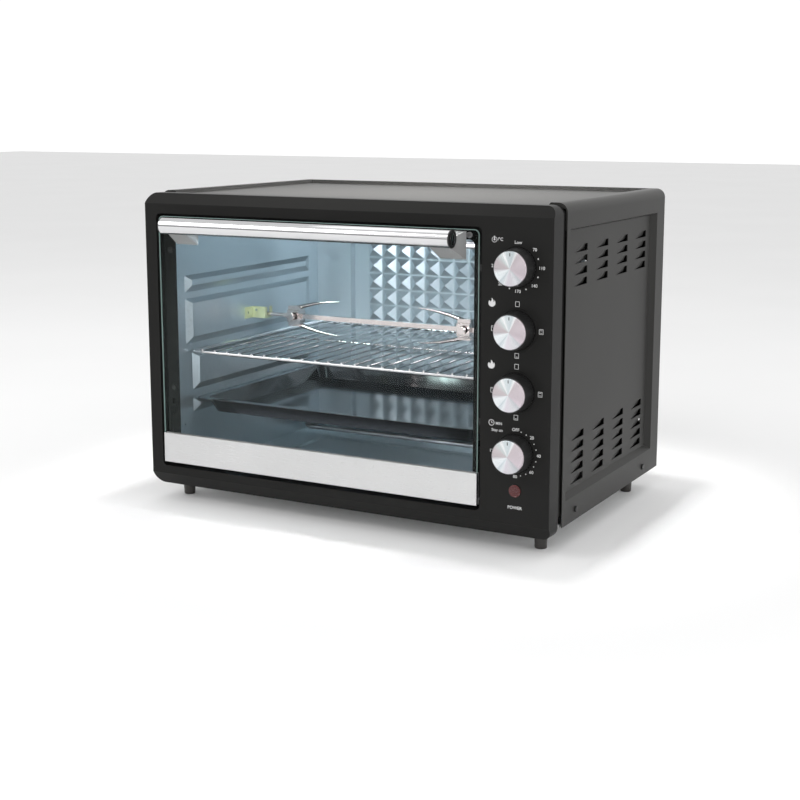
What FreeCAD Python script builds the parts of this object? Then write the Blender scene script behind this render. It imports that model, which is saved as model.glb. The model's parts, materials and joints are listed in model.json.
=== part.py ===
"""Countertop rotisserie oven with a drop-down glass door, four control knobs and a driven spit.

Frame: millimetres, +Z up, the door faces -Y and the controls are on the +X side. The origin is on
the table, at the middle of the overall box. In the sheet and in the helpers, y is counted backwards
from the front face of the fascia, z is counted up from the table, and x from the oven's middle.
"""
import FreeCAD, Part
import math
import os
import re

from FreeCAD import Placement, Rotation, Vector

os.makedirs("parts", exist_ok=True)
doc = FreeCAD.newDocument("RotisserieOven")
sheet = doc.addObject("Spreadsheet::Sheet", "Dims")

DIMENSIONS = {
    # overall
    "half_width": 275, "handle_reach": 37, "rear_depth": 383,
    "face_y": "=-(rear_depth - handle_reach) / 2",
    # wrap-round shell
    "shell_front": 36, "shell_back": 365, "shell_low": 28, "shell_high": 393,
    "skin": 1, "shell_round": 11, "pocket_depth": 6.5,
    "pocket_front": 46, "pocket_back": 337, "pocket_low": 57, "pocket_high": 364,
    "top_rim": 20, "top_sink": 4.6,
    # louvres of the side panels
    "louvre_start": 77, "louvre_pitch": 66.4, "louvre_length": 37, "louvre_open": 8,
    "louvre_bend": 20,
    "louvre_step": 12.75, "louvre_upper": 297, "louvre_lower": 68.5,
    # moulded fascia
    "frame_half": 274.5, "frame_depth": 26, "slope_depth": 10, "frame_wall": 2.5,
    "frame_round": 12, "frame_round_in": 9.5,
    "crease_low": 35.5, "crease_high": 378.5, "frame_low": 20, "frame_high": 391.2,
    "recess_left": -257.5, "recess_right": 189.5, "recess_low": 45.7, "recess_high": 366.2,
    "recess_round": 6, "flange_front": 16, "flange_back": 17,
    "collar_half": 272.5, "collar_low": 38, "collar_high": 386.5, "collar_back": 42,
    # door
    "door_left": -254, "door_right": 186, "door_low": 51.2, "door_high": 363,
    "glass_front": 0.5, "glass_back": 4.5, "trim_front": -1, "trim_back": 5.5, "trim_high": 88.8,
    "hinge_y": 8, "hinge_z": 57.5, "pin_radius": 1.5, "arm_radius": 63, "arm_width": 6,
    "running_gap": 0.05,
    # handle
    "handle_left": -227, "handle_right": 167, "handle_y": -27, "handle_z": 354,
    "tube_radius": 10, "tube_wall": 1, "cap_edge": 1.5,
    "bracket_width": 32.5, "bracket_low": 329.3, "bracket_high": 361, "bracket_nose": 344.7,
    # cavity
    "cavity_left": -241, "cavity_right": 173, "cavity_low": 34.5, "cavity_high": 350,
    "cavity_back": 350, "panel_back": 357, "wall": 0.8, "sill": 47,
    "rib_rise": 6, "rib_back": 326,
    "pyramid_pitch": 22.8, "pyramid_gap": 2, "pyramid_rise": 7, "panel_inset": 56,
    "floor_sink": 3,
    # heating elements
    "element_radius": 3.25, "element_gap": 34, "lower_z": 45.5, "upper_z": 337,
    "bush_radius": 6.5, "bush_length": 5, "leg_out": 7,
    # spit
    "spit_y": 180, "spit_z": 221.5, "rod_side": 6, "rod_left": -221, "rod_right": 166,
    # shelf fittings
    "rack_z": 188.6, "rack_front": 42, "rack_back": 345, "rack_wire": 2.3, "rod_wire": 1.2,
    "rack_pitch": 18.7, "rack_side": 1.6,
    "tray_rim_z": 126.7, "tray_front": 43, "tray_back": 341, "tray_depth": 19, "tray_wall": 0.8,
    # controls
    "knob_x": 233, "knob_low_z": 117.5, "knob_pitch": 69, "knob_foot": 21.5, "knob_head": 20,
    "knob_gap": 0.8, "knob_face": 20, "knob_cap": 2, "cap_radius": 19.4, "shaft_radius": 3,
    "bracket_plate": 14, "lamp_z": 74.5, "lamp_radius": 7.1,
    # feet
    "foot_x": 248, "foot_front": 41, "foot_back": 323, "foot_top": 8.4, "foot_low": 7,
}
for row, (alias, value) in enumerate(DIMENSIONS.items(), start=1):
    sheet.set(f"A{row}", alias)
    sheet.set(f"B{row}", str(value))
    sheet.setAlias(f"B{row}", alias)
doc.recompute()

nodes = []


def dim(alias):
    """The value of one cell of the sheet."""
    return float(sheet.get(alias))


def formula(text):
    """Turns an expression in the sheet's own words into one that other objects can read."""
    return re.sub(r"[a-z][a-z_]*", lambda word: "Dims." + word.group(0), str(text))


def bind(thing, **formulas):
    """Binds properties of an object to formulas in the sheet's words."""
    for name, text in formulas.items():
        thing.setExpression(name, formula(text))
    return thing


def stand(thing, x, y, z, rotation=None):
    """Places an object at x, y behind the front face, and z above the table."""
    if rotation:
        thing.Placement = Placement(Vector(), rotation)
    thing.setExpression("Placement.Base.x", formula(x))
    thing.setExpression("Placement.Base.y", formula(f"face_y + ({y})"))
    thing.setExpression("Placement.Base.z", formula(z))
    return thing


ALONG = {"x": Rotation(Vector(0, 1, 0), 90), "y": Rotation(Vector(1, 0, 0), -90), "z": Rotation()}
WEDGE = {"x": Rotation(Vector(0, 0, 1), -90), "y": Rotation(), "z": Rotation(Vector(1, 0, 0), 90)}


def box(name, x, y, z):
    """A box from pairs of lowest and highest formulas."""
    made = doc.addObject("Part::Box", name)
    bind(made, Length=f"({x[1]}) - ({x[0]})", Width=f"({y[1]}) - ({y[0]})",
         Height=f"({z[1]}) - ({z[0]})")
    return stand(made, x[0], y[0], z[0])


def cylinder(name, axis, radius, at, length, angle=360):
    """A cylinder along an axis, from its starting point."""
    made = doc.addObject("Part::Cylinder", name)
    bind(made, Radius=radius, Height=length)
    made.Angle = angle
    return stand(made, *at, ALONG[axis])


def cone(name, axis, low, high, at, length):
    """A cone frustum along an axis, with its two radii."""
    made = doc.addObject("Part::Cone", name)
    bind(made, Radius1=low, Radius2=high, Height=length)
    return stand(made, *at, ALONG[axis])


def frustum(name, axis, ends, low, high):
    """A four-sided frustum between two planes; low and high are (first, last) pairs of its sides.

    The pairs are y and z for the x axis, x and z for the y axis, and x and y for the z axis.
    """
    made = doc.addObject("Part::Wedge", name)
    if axis == "x":
        low, high = [((f"-({p[0][1]})", f"-({p[0][0]})"), p[1]) for p in (low, high)]
    if axis == "z":
        low, high = [(p[0], (f"-({p[1][1]})", f"-({p[1][0]})")) for p in (low, high)]
    bind(made, Ymin=ends[0], Ymax=ends[1], Xmin=low[0][0], Xmax=low[0][1], Zmin=low[1][0],
         Zmax=low[1][1], X2min=high[0][0], X2max=high[0][1], Z2min=high[1][0], Z2max=high[1][1])
    return stand(made, "0", "0", "0", WEDGE[axis])


def cut(name, base, *tools):
    """The base without the tools."""
    for number, tool in enumerate(tools, start=1):
        made = doc.addObject("Part::Cut", name if number == len(tools) else f"{name}_cut{number}")
        made.Base = base
        made.Tool = tool
        base = made
    return base


def fuse(name, *shapes):
    """The shapes joined into one solid."""
    made = doc.addObject("Part::MultiFuse", name)
    made.Shapes = list(shapes)
    return made


def common(name, first, second):
    """What two shapes share."""
    made = doc.addObject("Part::Common", name)
    made.Base = first
    made.Tool = second
    return made


def group(name, *shapes):
    """Identical pieces kept as separate solids in one node."""
    made = doc.addObject("Part::Compound", name)
    made.Links = list(shapes)
    return made


def feature(name, shape):
    """An object whose shape comes from the sheet's values in code."""
    made = doc.addObject("Part::Feature", name)
    made.Shape = shape
    made.Placement = Placement(Vector(0, dim("face_y"), 0), Rotation())
    return made


def rounded(name, base, axis, radius, wanted=lambda middle: True):
    """Rounds the edges that run along an axis."""
    doc.recompute()
    edges = []
    for index, edge in enumerate(base.Shape.Edges, start=1):
        run = edge.lastVertex().Point - edge.firstVertex().Point
        along = abs(getattr(run.normalize(), axis)) > 0.8
        middle = (edge.lastVertex().Point + edge.firstVertex().Point) / 2
        if along and wanted(middle):
            edges.append((index, dim(radius), dim(radius)))
    made = doc.addObject("Part::Fillet", name)
    made.Base = base
    made.Edges = edges
    return made


def node(thing, label=None):
    """Marks an object as one named piece of the oven."""
    thing.Label = label or thing.Name
    nodes.append(thing)
    return thing


def tube_path(points, radius, bend):
    """A round bar along straight runs joined by tangent arcs."""
    edges = []
    start = points[0]
    for before, corner, after in zip(points, points[1:], points[2:]):
        inward = (before - corner).normalize()
        onward = (after - corner).normalize()
        half = inward.getAngle(onward) / 2
        reach = bend / math.tan(half)
        middle = (inward + onward).normalize() * (bend / math.sin(half) - bend)
        first, last = corner + inward * reach, corner + onward * reach
        edges.append(Part.LineSegment(start, first).toShape())
        edges.append(Part.Arc(first, corner + middle, last).toShape())
        start = last
    edges.append(Part.LineSegment(start, points[-1]).toShape())
    path = Part.Wire(edges)
    disc = Part.Wire(Part.makeCircle(radius, points[0], points[1] - points[0]))
    return path.makePipeShell([disc], True, True)


SCREW_HEAD, SCREW_HEAD_HEIGHT, SCREW_SHANK = 3.6, 1.8, 1.6


def screw(at, outward, length=6, head=SCREW_HEAD, shank=SCREW_SHANK):
    """A pan-head screw whose head sits at a point and whose shank runs inwards."""
    cap = Part.makeCylinder(head, SCREW_HEAD_HEIGHT, at, outward)
    slot = Part.makeBox(2 * head, 0.8, 1)
    slot.Placement = Placement(at + outward * (SCREW_HEAD_HEIGHT - 0.8),
                               Rotation(Vector(0, 0, 1), outward))
    slot.translate(slot.Placement.Rotation.multVec(Vector(-head, -0.4, 0)))
    stem = Part.makeCylinder(shank, length, at - outward * length, outward)
    return cap.fuse(stem).cut(slot).removeSplitter()


LEFT, RIGHT, FRONT, BACK = Vector(-1, 0, 0), Vector(1, 0, 0), Vector(0, -1, 0), Vector(0, 1, 0)
UP, DOWN = Vector(0, 0, 1), Vector(0, 0, -1)

# Places shared by screws and their holes: x or y, then z
SIDE_SCREWS = [(77, 40.5), (307, 39.5)]
REAR_SCREWS = [(-255, 60), (-255, 360), (0, 375), (255, 360), (255, 60), (0, 45)]
FLANGE_SCREWS = [(167, 355.4), (-249, 319.6), (-249, 145), (181, 319.6), (181, 145)]
HANDLE_SCREW_Z = 348
# The x of the hinge arms, and the left sides of the handle brackets
ARM_X = (-250, 182)
BRACKET_X = (-226.5, 138)
BRACKET_NOSE_X = (("-219", "-192.5"), ("138", "162"))
# How far the tail of a hinge arm reaches below the level of its pin, in degrees
TAIL_DROP = 12
# The lowest and highest z of each pressed bar of the cavity's sides, and how far back it starts
RIBS = {"a": (264.3, 286, 32), "b": (198.4, 256.3, 32), "c": (137.5, 186.1, 44),
        "d": (108.5, 126.6, 44)}
# The y and z of each heating element
ELEMENTS = {"lower_front_element": (87, "lower_z"), "lower_rear_element": (301, "lower_z"),
            "upper_front_element": (92, "upper_z"), "upper_rear_element": (267, "upper_z")}
# Where the capillary leaves the cavity, two small holes in its left side: y and z
# Where the cord enters the cover: x, y and z
BULB_HOLE = (225, 325)
SIDE_HOLES = [(26.6, 94.7), (38.1, 78.5)]
GLAND = (248, 350, 90)


def louvre(pierce):
    """One louvre at the origin of the plane x = 0: its opening, or the tongue bent inwards."""
    length, height, fold, margin = dim("louvre_length"), dim("louvre_open"), 0.6, 0.6
    if pierce:
        corners = [(0, 0), (fold * length, height), (length, height), (length, 0)]
        reach = (2, -3)
    else:
        corners = [(-0.4, 0.3), (fold * length - 0.8, height), (length - margin, height - 0.2),
                   (length - margin, margin)]
        reach = (-0.05, -0.9)
    outline = [Vector(reach[0], y, z) for y, z in corners]
    plate = Part.Face(Part.makePolygon(outline + outline[:1]))
    plate = plate.extrude(Vector(reach[1] - reach[0], 0, 0))
    if not pierce:
        plate.rotate(Vector(), Vector(0, fold * length, height), dim("louvre_bend"))
    return plate


def side_louvres(pierce):
    """The openings, or the tongues, of every louvre on both sides."""
    made = []
    lows = [dim("louvre_lower") + dim("louvre_step") * n for n in range(5)]
    lows += [dim("louvre_upper") + dim("louvre_step") * n for n in range(4)]
    face = dim("half_width") - dim("pocket_depth")
    pattern = louvre(pierce)
    for column in range(4):
        start = dim("louvre_start") + dim("louvre_pitch") * column
        for low in lows:
            right = pattern.translated(Vector(face, start, low))
            made += [right, right.mirror(Vector(), RIGHT)]
    return made


def outer_shell():
    """One bent sheet: two sides with sunken, louvred panels and a top with a raised rim."""
    def block(name, off):
        sides = (f"-half_width + {off}", f"half_width - {off}")
        made = box(name, sides, (f"shell_front - {off}", f"shell_back + {off}"),
                   (f"shell_low - {off}", f"shell_high - {off}"))
        middle = (dim("shell_low") + dim("shell_high")) / 2
        return rounded(name + "_round", made, "y", "shell_round", lambda m: m.z > middle)

    def side_pocket(name, off, side):
        outer = (f"pocket_front - {off}", f"pocket_back + {off}")
        inner = (f"pocket_front + 3 - {off}", f"pocket_back - 9 + {off}")
        low, high = f"pocket_low - {off}", f"pocket_high + {off}"
        deep, flush = f"half_width - pocket_depth - {off}", "half_width + 0"
        if side > 0:
            return frustum(name, "x", (deep, flush), (inner, (f"{low} + 6", f"{high} - 3")),
                           (outer, (low, high)))
        return frustum(name, "x", (f"-({flush})", f"-({deep})"), (outer, (low, high)),
                       (inner, (f"{low} + 6", f"{high} - 3")))

    def top_pocket(name, off):
        wide = (f"-half_width + top_rim - {off}", f"half_width - top_rim + {off}")
        slim = (f"-half_width + top_rim + 4 - {off}", f"half_width - top_rim - 4 + {off}")
        return frustum(name, "z", (f"shell_high - top_sink - {off}", "shell_high + 0"),
                       (slim, ("shell_front - 5", f"shell_back - 10 + {off}")),
                       (wide, ("shell_front - 5", f"shell_back - 6 + {off}")))

    pressed = {}
    for off in (0, 1):
        pressed[off] = cut(f"shell_form{off}", block(f"shell_block{off}", off),
                           side_pocket(f"pocket_right{off}", off, 1),
                           side_pocket(f"pocket_left{off}", off, -1),
                           top_pocket(f"pocket_top{off}", off))
    skin = cut("shell_skin", pressed[0], pressed[1])
    holes = [Part.makeCylinder(SCREW_SHANK, 2 * dim("half_width") + 20,
                               Vector(-dim("half_width") - 10, y, z), RIGHT)
             for y, z in SIDE_SCREWS]
    slots = feature("louvre_slots", Part.makeCompound(side_louvres(True) + holes))
    tongues = feature("louvre_tongues", Part.makeCompound(side_louvres(False)))
    band = box("lip_band", ("-half_width", "half_width"), ("shell_front", "shell_front + 1"),
               ("shell_high - 30", "shell_high + 1"))
    window = box("lip_window", ("-collar_half - 0.5", "collar_half + 0.5"),
                 ("shell_front - 1", "shell_front + 2"), ("shell_high - 31", "collar_high + 0.5"))
    lip = cut("shell_lip", common("lip_blank", pressed[0], band), window)
    return fuse("outer_shell", cut("shell_pierced", skin, slots), tongues, lip)


def rear_cover():
    """The back sheet with its hollow bulge, vent slots and the hole for the cord's bush."""
    square = box("rear_square", ("-half_width + 1", "half_width - 1"),
                 ("shell_back", "shell_back + skin"), ("shell_low + 1", "shell_high - 1"))
    middle = (dim("shell_low") + dim("shell_high")) / 2
    sheet_part = rounded("rear_sheet", square, "y", "shell_round", lambda m: m.z > middle)
    bulge = [frustum(f"rear_bulge{off}", "y", (f"shell_back - {off}", f"rear_depth - {off}"),
                     ((f"-232 + {off}", f"232 - {off}"), (f"68 + {off}", f"352 - {off}")),
                     ((f"-220 + {off}", f"220 - {off}"), (f"80 + {off}", f"340 - {off}")))
             for off in (0, 1)]
    vents = []
    for x in range(-180, 181, 24):
        for z in (110, 290):
            vents.append(Part.makeBox(14, 40, 4, Vector(x - 7, 350, z)))
            vents.append(Part.makeBox(14, 40, 4, Vector(x - 7, 350, z + 12)))
    for x, z in REAR_SCREWS:
        vents.append(Part.makeCylinder(SCREW_SHANK, 40, Vector(x, 350, z), BACK))
    vents.append(Part.makeCylinder(7, 40, Vector(*GLAND), BACK))
    openings = feature("rear_openings", Part.makeCompound(vents))
    return cut("rear_cover", fuse("rear_form", sheet_part, bulge[0]), bulge[1], openings)


def cord_gland():
    """The moulded bush in the rear cover that the mains cord passes through."""
    face = dim("shell_back")
    body = Part.makeCylinder(6.9, 9, Vector(GLAND[0], face - 4, GLAND[2]), BACK)
    outer = Part.makeCylinder(9.5, 3, Vector(GLAND[0], face + 1, GLAND[2]), BACK)
    inner = Part.makeCylinder(8.5, 2, Vector(GLAND[0], face - 4, GLAND[2]), BACK)
    bore = Part.makeCylinder(3.6, 20, Vector(GLAND[0], face - 8, GLAND[2]), BACK)
    return feature("cord_gland", body.multiFuse([outer, inner]).cut(bore))


def base_plate():
    """The bottom pan, with upturned edges, foot holes and vent slots."""
    plate = box("base_sheet", ("-half_width + 2", "half_width - 2"),
                ("frame_depth + 1", "shell_back - 1"), ("shell_low + 1", "shell_low + 5"))
    hollow = box("base_hollow", ("-half_width + 3", "half_width - 3"),
                 ("frame_depth + 2", "shell_back - 2"), ("shell_low + 2", "shell_low + 6"))
    vents = [Part.makeBox(60, 5, 8, Vector(x, y, 25))
             for x in (-200, -110, -20, 70) for y in range(110, 291, 15)]
    vents += [Part.makeCylinder(2, 12, Vector(x, y, 24)) for x, y in foot_places()]
    return cut("base_plate", plate, hollow, feature("base_vents", Part.makeCompound(vents)))


def foot_places():
    """The middle of each foot."""
    return [(x, y) for x in (-dim("foot_x"), dim("foot_x"))
            for y in (dim("foot_front"), dim("foot_back"))]


def feet():
    """Four tapered feet, each with a well for the head of its screw."""
    made = []
    for number, (x, y) in enumerate(foot_places()):
        body = cone(f"foot_body{number}", "z", "foot_low", "foot_top", (x, y, 0), "shell_low + 1")
        well = cylinder(f"foot_well{number}", "z", 4, (x, y, -1), "14")
        bore = cylinder(f"foot_bore{number}", "z", 2, (x, y, 0), "40")
        made.append(cut(f"foot{number}", body, well, bore))
    return group("feet", *made)


def front_frame():
    """The moulded fascia: a flat face whose top and bottom slope back, with the door's recess."""
    def form(name, off, corner):
        slab = box(name + "_slab", (f"-frame_half + {off}", f"frame_half - {off}"),
                   (f"{off}", f"frame_depth + {off}"),
                   (f"frame_low + {off}", f"frame_high - {off}"))
        wide = ("-frame_half - 9", "frame_half + 9")
        tall = (f"frame_low + {off}", f"frame_high - {off}")
        slopes = frustum(name + "_slopes", "y", (f"{off}", f"slope_depth + {off}"),
                         (wide, (f"crease_low + {off}", f"crease_high - {off}")), (wide, tall))
        behind = box(name + "_behind", wide, (f"slope_depth + {off}", f"frame_depth + {off}"), tall)
        return common(name, rounded(name + "_round", slab, "y", corner),
                      fuse(name + "_profile", slopes, behind))

    lip = "frame_wall"
    rim = box("recess_rim", (f"recess_left - {lip}", f"recess_right + {lip}"),
              ("frame_wall / 2", "flange_front"), (f"recess_low - {lip}", f"recess_high + {lip}"))
    hollow = cut("frame_hollow", form("frame_inner", "2.5", "frame_round_in"),
                 rounded("recess_rim_round", rim, "y", "recess_round"))
    rings = []
    for off, ends in ((0, ("frame_depth - 2", "collar_back")), (1, ("0", "collar_back + 5"))):
        inset = f"{off} * frame_wall"
        ring = box(f"collar_ring{off}", (f"-collar_half + {inset}", f"collar_half - {inset}"), ends,
                   (f"collar_low + {inset}", f"collar_high - {inset}"))
        rings.append(rounded(f"collar_round{off}", ring, "y", "recess_round"))
    web = box("collar_web", ("-frame_half + 1.5", "frame_half - 1.5"),
              ("frame_depth - 2", "frame_depth"), ("frame_low + 2", "frame_high - 2"))
    collar = cut("frame_collar", fuse("collar_form", rounded("web_round", web, "y", "shell_round"),
                                      rings[0]), rings[1])
    opening = box("recess_opening", ("recess_left", "recess_right"), ("-5", "40"),
                  ("recess_low", "recess_high"))
    holes = [Part.makeCylinder(5.5, 20, Vector(dim("knob_x"), -5, z), BACK) for z in knob_heights()]
    holes.append(Part.makeCylinder(dim("lamp_radius") + 0.1, 20,
                                   Vector(dim("knob_x"), -5, dim("lamp_z")), BACK))
    moulding = cut("frame_moulding", form("frame_outer", "0", "frame_round"), hollow,
                   rounded("recess_opening_round", opening, "y", "recess_round"),
                   feature("fascia_holes", Part.makeCompound(holes)))
    notch = box("cavity_notch", ("cavity_left - 2", "cavity_right + 2"),
                ("frame_depth - 3", "collar_back + 1"), ("cavity_low - 2", "collar_low + 5"))
    return fuse("front_frame", moulding, cut("collar_notched", collar, notch))


def knob_heights():
    """The heights of the knobs' axes, from the timer up to the thermostat."""
    return [dim("knob_low_z") + dim("knob_pitch") * n for n in range(4)]


def cavity_front_flange():
    """The black inner front that carries the cavity, with slots for the hinge arms."""
    plate = box("flange_plate", ("recess_left - 4", "recess_right + 4"),
                ("flange_front", "flange_back"), ("recess_low - 6", "recess_high + 4"))
    mouth = box("flange_mouth", ("cavity_left", "cavity_right"), ("10", "20"),
                ("sill", "cavity_high"))
    arc = math.sqrt(dim("arm_radius") ** 2 - (dim("flange_front") - dim("hinge_y")) ** 2)
    tools = [Part.makeBox(5, 10, 20, Vector(x - 2.5, 12, dim("hinge_z") + arc - 10))
             for x in ARM_X]
    tools += [Part.makeCylinder(SCREW_SHANK, 10, Vector(x, 12, z), BACK) for x, z in FLANGE_SCREWS]
    return cut("cavity_front_flange", plate,
               rounded("flange_mouth_round", mouth, "y", "recess_round"),
               feature("flange_slots", Part.makeCompound(tools)))


def cavity_side(name, side):
    """A cavity side sheet with four pressed bars, whose gaps guide the rack and the tray."""
    inner = "cavity_left" if side < 0 else "cavity_right"
    outer = f"{inner} - wall" if side < 0 else f"{inner} + wall"
    span = (outer, inner) if side < 0 else (inner, outer)
    plate = box(name + "_sheet", span, ("flange_back", "cavity_back + wall"),
                ("cavity_low", "cavity_high"))
    bars, backs = [], []
    for bar, (low, high, start) in RIBS.items():
        for off, made in ((0, bars), (1, backs)):
            gap = "0" if off == 0 else "wall"
            rise = f"rib_rise - {gap}"
            wide = ((f"{start} + {gap}", f"rib_back - {gap}"), (f"{low} + {gap}", f"{high} - {gap}"))
            slim = ((f"{start} + 8", "rib_back - 18"), (f"{low} + 9", f"{high} - 5.7"))
            if side < 0:
                made.append(frustum(f"{name}_{bar}{off}", "x",
                                    (f"{inner} - {gap}", f"{inner} + {rise}"), wide, slim))
            else:
                made.append(frustum(f"{name}_{bar}{off}", "x",
                                    (f"{inner} - ({rise})", f"{inner} + {gap}"), slim, wide))
    solid = fuse(name + "_bars", plate, *bars)
    if side < 0:
        rivets = [Part.makeCylinder(1.5, 10, Vector(-246, y, z), RIGHT) for y, z in SIDE_HOLES]
        return cut(name, solid, *backs, feature(name + "_holes", Part.makeCompound(rivets)))
    holes = [Part.makeCylinder(4.3, 30, Vector(165, y, z), RIGHT) for y, z in element_legs()]
    holes.append(Part.makeCylinder(9, 40, Vector(150, dim("spit_y"), dim("spit_z")), RIGHT))
    holes.append(Part.makeCylinder(2.2, 30, Vector(165, *BULB_HOLE), RIGHT))
    return cut(name, solid, *backs, feature(name + "_holes", Part.makeCompound(holes)))


def element_legs():
    """Where the legs of the four heating elements leave the cavity."""
    half = dim("element_gap") / 2
    return [(y + side * half, dim(z)) for y, z in ELEMENTS.values() for side in (-1, 1)]


def heating_element(name, y, z):
    """A hairpin tube: two legs across the cavity and a half-round bend near the left wall."""
    bend, end = "cavity_left + 30", "cavity_right + leg_out"
    legs = [cylinder(f"{name}_leg{side}", "x", "element_radius",
                     (bend, f"{y} + {side} * element_gap / 2", z), f"{end} - ({bend})")
            for side in (-1, 1)]
    turn = doc.addObject("Part::Torus", name + "_turn")
    bind(turn, Radius1="element_gap / 2", Radius2="element_radius")
    turn.Angle3 = 180
    stand(turn, bend, y, z, Rotation(Vector(0, 0, 1), 90))
    return fuse(name, turn, *legs)


def element_bushes():
    """A ceramic bush on each heating element leg, outside the right wall."""
    bushes = []
    for number, (y, z) in enumerate(element_legs()):
        at = ("cavity_right + wall", y, z)
        bushes.append(cut(f"bush{number}", cylinder(f"bush_body{number}", "x", "bush_radius", at,
                                                    "bush_length"),
                          cylinder(f"bush_bore{number}", "x", "element_radius", at, "20")))
    return group("element_bushes", *bushes)


def pyramid_panel():
    """The back sheet: a flat margin, a step, and a field of square pyramids facing the door."""
    left, right = dim("cavity_left"), dim("cavity_right")
    low, high = dim("cavity_low"), dim("cavity_high")
    front, deep, slope = dim("cavity_back"), dim("panel_back"), 3
    inset, pitch, gap, rise = (dim("panel_inset"), dim("pyramid_pitch"), dim("pyramid_gap"),
                               dim("pyramid_rise"))
    columns, rows = 11, 10
    first_x = (left + right - columns * pitch) / 2
    first_z = 308.5 - rows * pitch
    top_inset, low_inset = 20, 22

    def ring(x0, x1, z0, z1, y):
        return [Vector(x0, y, z0), Vector(x1, y, z0), Vector(x1, y, z1), Vector(x0, y, z1)]

    def loop(points):
        return Part.makePolygon(points + points[:1])

    edge = ring(left, right, low, high, front)
    brink = ring(left + inset, right - inset, low + low_inset, high - top_inset, front)
    foot = ring(left + inset + slope, right - inset - slope, low + low_inset + slope,
                high - top_inset - slope, deep)
    squares, faces = [], [Part.Face([loop(edge), loop(brink)])]
    for a in range(4):
        faces.append(Part.Face(loop([brink[a], brink[(a + 1) % 4], foot[(a + 1) % 4], foot[a]])))
    for column in range(columns):
        for row in range(rows):
            x, z = first_x + column * pitch, first_z + row * pitch
            square = ring(x + gap / 2, x + pitch - gap / 2, z + gap / 2, z + pitch - gap / 2, deep)
            tip = Vector(x + pitch / 2, deep - rise, z + pitch / 2)
            squares.append(loop(square))
            for a in range(4):
                faces.append(Part.Face(loop([square[a], square[(a + 1) % 4], tip])))
    faces.append(Part.Face([loop(foot)] + squares))
    through = Vector(0, dim("wall"), 0)
    faces += [face.translated(through) for face in faces]
    for a in range(4):
        first, last = edge[a], edge[(a + 1) % 4]
        faces.append(Part.Face(loop([first, last, last + through, first + through])))
    shell = Part.makeShell(faces)
    shell.sewShape()
    solid = Part.makeSolid(shell)
    solid.fix(1e-4, 1e-4, 1e-4)
    if solid.Volume < 0:
        solid.reverse()
    return feature("cavity_back_panel", solid)


def cavity_floor():
    """The cavity floor with its shallow pressed well between the lower elements."""
    sheet_part = box("floor_sheet", ("cavity_left", "cavity_right"), ("flange_back", "cavity_back"),
                     ("cavity_low - wall", "cavity_low"))
    wells = []
    for off in ("0", "wall"):
        wide = (f"-191 - {off}", f"123 + {off}"), (f"112 - {off}", f"284 + {off}")
        slim = (f"-187 - {off}", f"119 + {off}"), (f"116 - {off}", f"280 + {off}")
        wells.append(frustum(f"floor_well_{off}", "z",
                             (f"cavity_low - floor_sink - {off}", "cavity_low"), slim, wide))
    return cut("cavity_floor", fuse("floor_form", sheet_part, wells[1]), wells[0])


def cavity_roof():
    """The cavity roof sheet with two stiffening beads."""
    plate = box("roof_sheet", ("cavity_left - wall", "cavity_right + wall"),
                ("flange_back", "cavity_back + wall"), ("cavity_high", "cavity_high + wall"))
    beads = []
    for number, y in enumerate((175, 190)):
        for off in ("0", "wall"):
            beads.append(box(f"roof_bead{number}_{off}", (f"-180 + {off}", f"120 - {off}"),
                             (f"{y} + {off}", f"{y} + 6 - {off}"),
                             ("cavity_high", f"cavity_high + 4 - {off}")))
    return cut("cavity_roof", fuse("roof_form", plate, beads[0], beads[2]), beads[1], beads[3])


def spit_bracket():
    """The formed bracket on the left wall with an open notch that carries the spit's end."""
    face = dim("cavity_left") + dim("rib_rise")
    y, z = dim("spit_y"), dim("spit_z")
    reach, half, tall, thick, tab_long = 20, 9, 15, 1.2, 18
    low = z - 5.5
    plate = Part.makeBox(thick, 2 * half, tall, Vector(face + reach, y - half, low))
    cheek = Part.makeBox(reach + thick, thick, tall, Vector(face, y - half, low))
    top = Part.makeBox(reach, 5, thick, Vector(face, y - half, low + tall - thick))
    tab = Part.makeBox(thick, tab_long, tall, Vector(face, y - half - tab_long + thick, low))
    notch = 3.2
    tools = [Part.makeCylinder(notch, 30, Vector(face + 5, y, z), RIGHT),
             Part.makeBox(30, 2 * notch, 20, Vector(face + 5, y - notch, z)),
             Part.makeCylinder(2, 5, Vector(face - 1, y - half - 10, z + 2), RIGHT),
             Part.makeCylinder(1.8, 5, Vector(face + 7, y - half - 2, z + 5), BACK)]
    solid = plate.multiFuse([cheek, top, tab]).cut(Part.makeCompound(tools)).removeSplitter()
    return feature("spit_bracket", solid)


def spit_rod():
    """The square bar, with a round neck in the bracket's notch and a point at its left end."""
    side, left, right = dim("rod_side"), dim("rod_left"), dim("rod_right")
    y, z = dim("spit_y"), dim("spit_z")
    neck_end, neck_radius = left + 33, 2.6
    bar = Part.makeBox(right - neck_end, side, side, Vector(neck_end, y - side / 2, z - side / 2))
    neck = Part.makeCylinder(neck_radius, neck_end - left, Vector(left, y, z), RIGHT)
    point = Part.makeCone(0.6, neck_radius, 9, Vector(left - 9, y, z), RIGHT)
    return feature("spit_rod", bar.multiFuse([neck, point]))


def drive_socket():
    """The square socket and its stub shaft, turned by the motor."""
    y, z, wall = dim("spit_y"), dim("spit_z"), dim("cavity_right")
    hole = dim("rod_side") + 0.3
    cup = Part.makeCylinder(7.5, 24, Vector(wall - 22, y, z), RIGHT)
    shaft = Part.makeCylinder(3.5, 18, Vector(wall + 2, y, z), RIGHT)
    square = Part.makeBox(17, hole, hole, Vector(wall - 23, y - hole / 2, z - hole / 2))
    return feature("drive_socket", cup.fuse(shaft).cut(square))


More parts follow.
